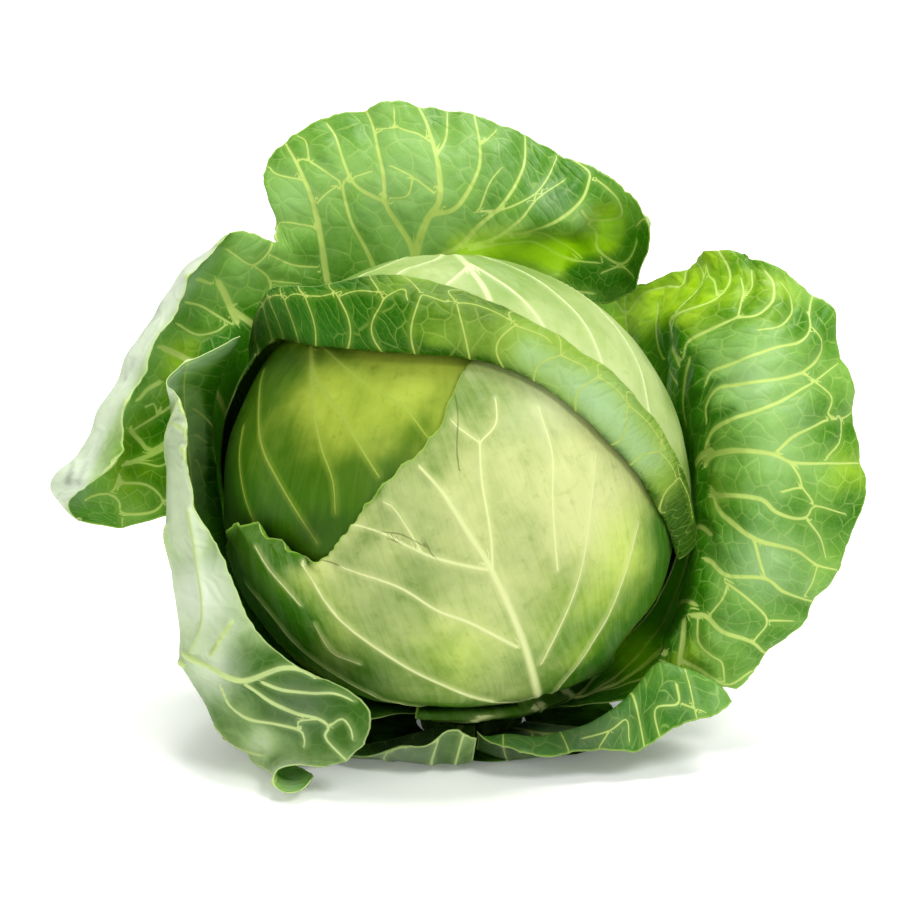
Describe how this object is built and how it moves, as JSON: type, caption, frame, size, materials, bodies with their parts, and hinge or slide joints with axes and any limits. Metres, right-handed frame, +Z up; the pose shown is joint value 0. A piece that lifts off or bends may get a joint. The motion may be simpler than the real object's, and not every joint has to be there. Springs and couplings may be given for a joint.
{
  "type": "cabbage head with outer leaves",
  "caption": "Round white cabbage head with wrapper leaves and loose, ribbed, curling outer leaves, resting on its cut stem.",
  "frame": {"origin": "centre of the stem's cut face, which lies on the table", "axes": "+Z up out of the table, through the stem towards the head; -Y towards the viewer of the picture; +X to that viewer's right"},
  "size_m": [0.3062, 0.1908, 0.218],
  "materials": {
    "stem_flesh": "pale moist plant flesh, cut across",
    "heart_leaf": "smooth, faintly waxy leaf",
    "head_leaf": "smooth, waxy, pale leaf",
    "outer_leaf": "waxy green leaf with pale veins",
    "outer_leaf_under": "matt, grey-green underside of a leaf"
  },
  "bodies": {
    "root": {"stem": "stem_flesh", "heart": "heart_leaf", "head_leaf_front": "head_leaf", "head_leaf_cap": "head_leaf", "outer_leaf_right": "outer_leaf", "outer_leaf_back": "outer_leaf", "outer_leaf_left": "outer_leaf_under", "outer_leaf_low_left": "outer_leaf_under", "outer_leaf_low_right": "outer_leaf"}
  },
  "joints": []
}
